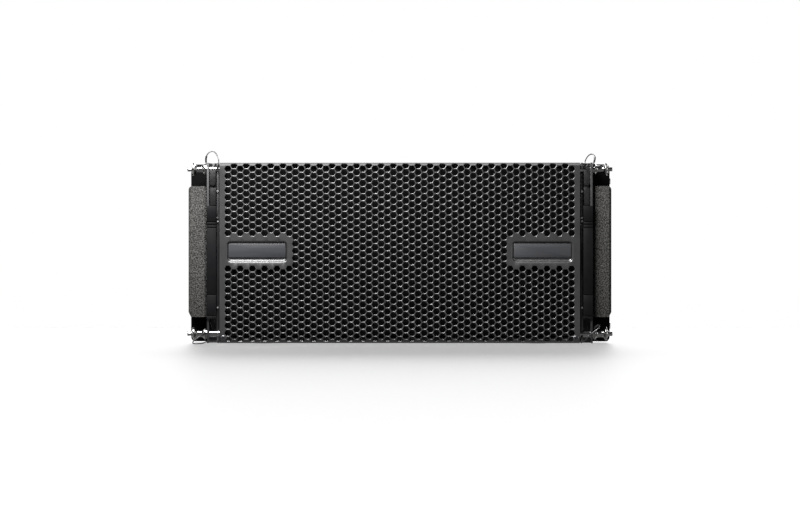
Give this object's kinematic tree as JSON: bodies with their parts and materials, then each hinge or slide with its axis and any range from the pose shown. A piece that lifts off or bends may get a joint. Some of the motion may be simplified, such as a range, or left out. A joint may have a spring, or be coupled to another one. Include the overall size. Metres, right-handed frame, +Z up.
{
  "type": "line array speaker",
  "caption": "Compact powered line array speaker with a hex perforated grille, side handles, captive front links, a rear splay link and quick release rigging pins.",
  "frame": {"origin": "middle of the base, on the surface that the feet stand on, half way between the front grille and the back of the rear bracket", "axes": "+X to the right seen from the front, +Y from the grille to the rear panel, +Z up"},
  "size_m": [0.5872, 0.4346, 0.2669],
  "materials": {
    "cabinet_plastic": "fine moulded grain, black",
    "baffle_black": "matt black",
    "grille_steel": "hex perforated sheet, satin black powder coat",
    "foam": "open cell acoustic foam, black",
    "badge_metal": "satin anodised blue grey, blank",
    "cheek_plastic": "coarse moulded grain, dark grey",
    "pad_rubber": "ribbed black rubber",
    "rigging_steel": "black powder coat",
    "cover_plastic": "smooth satin black",
    "foot_rubber": "matt black rubber",
    "screw_steel": "bright zinc plated",
    "panel_screw_steel": "black oxide",
    "basket_paint": "black",
    "motor_steel": "zinc plated plates",
    "suspension_rubber": "treated cloth and rubber",
    "cone_paper": "pressed paper pulp, black",
    "horn_plastic": "satin black",
    "driver_paint": "grey",
    "driver_cap_plastic": "black",
    "diaphragm_metal": "thin formed metal",
    "panel_paint": "fine texture black",
    "heatsink_aluminium": "black anodised",
    "board_green": "green solder mask",
    "supply_aluminium": "plain sheet",
    "power_socket_plastic": "light grey nylon",
    "socket_metal": "nickel plated",
    "latch_steel": "polished",
    "knob_plastic": "black, ribbed",
    "button_plastic": "black",
    "cover_rubber": "black",
    "light_lens": "tinted lenses",
    "link_steel": "dark grey zinc, slightly worn",
    "pin_steel": "polished stainless steel",
    "pin_button_steel": "polished stainless steel",
    "lanyard_wire": "black nylon coated steel wire"
  },
  "bodies": {
    "cabinet": {"cabinet_shell": "cabinet_plastic", "front_baffle": "baffle_black", "grille": "grille_steel", "grille_foam": "foam", "badge_left": "badge_metal", "badge_right": "badge_metal", "side_cheek_left": "cheek_plastic", "side_cheek_right": "cheek_plastic", "grip_pads": "pad_rubber", "rigging_column_left": "rigging_steel", "rigging_column_right": "rigging_steel", "column_cover_left": "cover_plastic", "column_cover_right": "cover_plastic", "rear_bracket": "rigging_steel", "feet": "foot_rubber", "rigging_screws": "screw_steel", "panel_screws": "panel_screw_steel", "woofer_basket_left": "basket_paint", "woofer_basket_right": "basket_paint", "woofer_motor_left": "motor_steel", "woofer_motor_right": "motor_steel", "woofer_suspension_left": "suspension_rubber", "woofer_suspension_right": "suspension_rubber", "waveguide": "horn_plastic", "driver_body": "driver_paint", "driver_cap": "driver_cap_plastic", "amp_panel": "panel_paint", "heatsink": "heatsink_aluminium", "amp_board": "board_green", "power_supply": "supply_aluminium", "power_sockets": "power_socket_plastic", "signal_sockets": "socket_metal", "status_lights": "light_lens"},
    "cone_left": {"woofer_cone_left": "cone_paper"},
    "cone_right": {"woofer_cone_right": "cone_paper"},
    "diaphragm": {"driver_diaphragm": "diaphragm_metal"},
    "link_left": {"front_link_left": "link_steel"},
    "link_right": {"front_link_right": "link_steel"},
    "rear_link": {"rear_link": "link_steel"},
    "level_knob": {"level_knob": "knob_plastic"},
    "preset_knob": {"preset_knob": "knob_plastic"},
    "test_button": {"test_button": "button_plastic"},
    "usb_cover": {"usb_cover": "cover_rubber"},
    "audio_latch": {"audio_latch": "latch_steel"},
    "data_latch_in": {"data_latch_in": "latch_steel"},
    "data_latch_out": {"data_latch_out": "latch_steel"},
    "pin_rear": {"pin_rear": "pin_steel"},
    "button_rear": {"button_rear": "pin_button_steel"},
    "pin_top_left": {"pin_top_left": "pin_steel", "lanyard_top_left": "lanyard_wire"},
    "button_top_left": {"button_top_left": "pin_button_steel"},
    "pin_top_right": {"pin_top_right": "pin_steel", "lanyard_top_right": "lanyard_wire"},
    "button_top_right": {"button_top_right": "pin_button_steel"},
    "pin_bottom_left": {"pin_bottom_left": "pin_steel", "lanyard_bottom_left": "lanyard_wire"},
    "button_bottom_left": {"button_bottom_left": "pin_button_steel"},
    "pin_bottom_right": {"pin_bottom_right": "pin_steel", "lanyard_bottom_right": "lanyard_wire"},
    "button_bottom_right": {"button_bottom_right": "pin_button_steel"}
  },
  "joints": [
    {"name": "cone_left_stroke", "type": "slide", "parent": "cabinet", "child": "cone_left", "axis": [0, -1, 0], "range_m": [-0.005, 0.005], "stiffness_N_per_m": 3000, "deforming": ["woofer_suspension_left"]},
    {"name": "cone_right_stroke", "type": "slide", "parent": "cabinet", "child": "cone_right", "axis": [0, -1, 0], "range_m": [-0.005, 0.005], "stiffness_N_per_m": 3000, "deforming": ["woofer_suspension_right"]},
    {"name": "diaphragm_stroke", "type": "slide", "parent": "cabinet", "child": "diaphragm", "axis": [0, -1, 0], "range_m": [-0.0004, 0.0004], "stiffness_N_per_m": 4000},
    {"name": "link_left_lift", "type": "slide", "parent": "cabinet", "child": "link_left", "axis": [0, 0, 1], "range_m": [0, 0.025]},
    {"name": "link_right_lift", "type": "slide", "parent": "cabinet", "child": "link_right", "axis": [0, 0, 1], "range_m": [0, 0.025]},
    {"name": "rear_link_swing", "type": "hinge", "parent": "cabinet", "child": "rear_link", "pos_m": [0, 0.1943, 0.208], "axis": [1, 0, 0], "range_deg": [0, 180]},
    {"name": "pin_top_left_pull", "type": "slide", "parent": "cabinet", "child": "pin_top_left", "axis": [-1, 0, 0], "range_m": [0, 0.021], "deforming": ["lanyard_top_left"]},
    {"name": "button_top_left_press", "type": "slide", "parent": "pin_top_left", "child": "button_top_left", "axis": [1, 0, 0], "range_m": [0, 0.003], "stiffness_N_per_m": 300, "springref_m": -0.001},
    {"name": "pin_top_right_pull", "type": "slide", "parent": "cabinet", "child": "pin_top_right", "axis": [1, 0, 0], "range_m": [0, 0.021], "deforming": ["lanyard_top_right"]},
    {"name": "button_top_right_press", "type": "slide", "parent": "pin_top_right", "child": "button_top_right", "axis": [-1, 0, 0], "range_m": [0, 0.003], "stiffness_N_per_m": 300, "springref_m": -0.001},
    {"name": "pin_bottom_left_pull", "type": "slide", "parent": "cabinet", "child": "pin_bottom_left", "axis": [-1, 0, 0], "range_m": [0, 0.021], "deforming": ["lanyard_bottom_left"]},
    {"name": "button_bottom_left_press", "type": "slide", "parent": "pin_bottom_left", "child": "button_bottom_left", "axis": [1, 0, 0], "range_m": [0, 0.003], "stiffness_N_per_m": 300, "springref_m": -0.001},
    {"name": "pin_bottom_right_pull", "type": "slide", "parent": "cabinet", "child": "pin_bottom_right", "axis": [1, 0, 0], "range_m": [0, 0.021], "deforming": ["lanyard_bottom_right"]},
    {"name": "button_bottom_right_press", "type": "slide", "parent": "pin_bottom_right", "child": "button_bottom_right", "axis": [-1, 0, 0], "range_m": [0, 0.003], "stiffness_N_per_m": 300, "springref_m": -0.001},
    {"name": "pin_rear_pull", "type": "slide", "parent": "cabinet", "child": "pin_rear", "axis": [1, 0, 0], "range_m": [0, 0.027]},
    {"name": "button_rear_press", "type": "slide", "parent": "pin_rear", "child": "button_rear", "axis": [-1, 0, 0], "range_m": [0, 0.003], "stiffness_N_per_m": 300, "springref_m": -0.001},
    {"name": "level_knob_turn", "type": "hinge", "parent": "cabinet", "child": "level_knob", "pos_m": [0.075, 0.181, 0.185], "axis": [0, 1, 0], "range_deg": [-150, 150]},
    {"name": "preset_knob_turn", "type": "hinge", "parent": "cabinet", "child": "preset_knob", "pos_m": [0.075, 0.181, 0.156], "axis": [0, 1, 0], "range_deg": [-135, 135]},
    {"name": "test_button_press", "type": "slide", "parent": "cabinet", "child": "test_button", "axis": [0, -1, 0], "range_m": [0, 0.0015], "stiffness_N_per_m": 300, "springref_m": -0.001},
    {"name": "usb_cover_lift", "type": "hinge", "parent": "cabinet", "child": "usb_cover", "pos_m": [0.075, 0.183, 0.1115], "axis": [1, 0, 0], "range_deg": [0, 100]},
    {"name": "audio_latch_press", "type": "slide", "parent": "cabinet", "child": "audio_latch", "axis": [0, -1, 0], "range_m": [0, 0.0016], "stiffness_N_per_m": 300, "springref_m": -0.001},
    {"name": "data_latch_in_press", "type": "slide", "parent": "cabinet", "child": "data_latch_in", "axis": [0, -1, 0], "range_m": [0, 0.0016], "stiffness_N_per_m": 300, "springref_m": -0.001},
    {"name": "data_latch_out_press", "type": "slide", "parent": "cabinet", "child": "data_latch_out", "axis": [0, -1, 0], "range_m": [0, 0.0016], "stiffness_N_per_m": 300, "springref_m": -0.001}
  ]
}
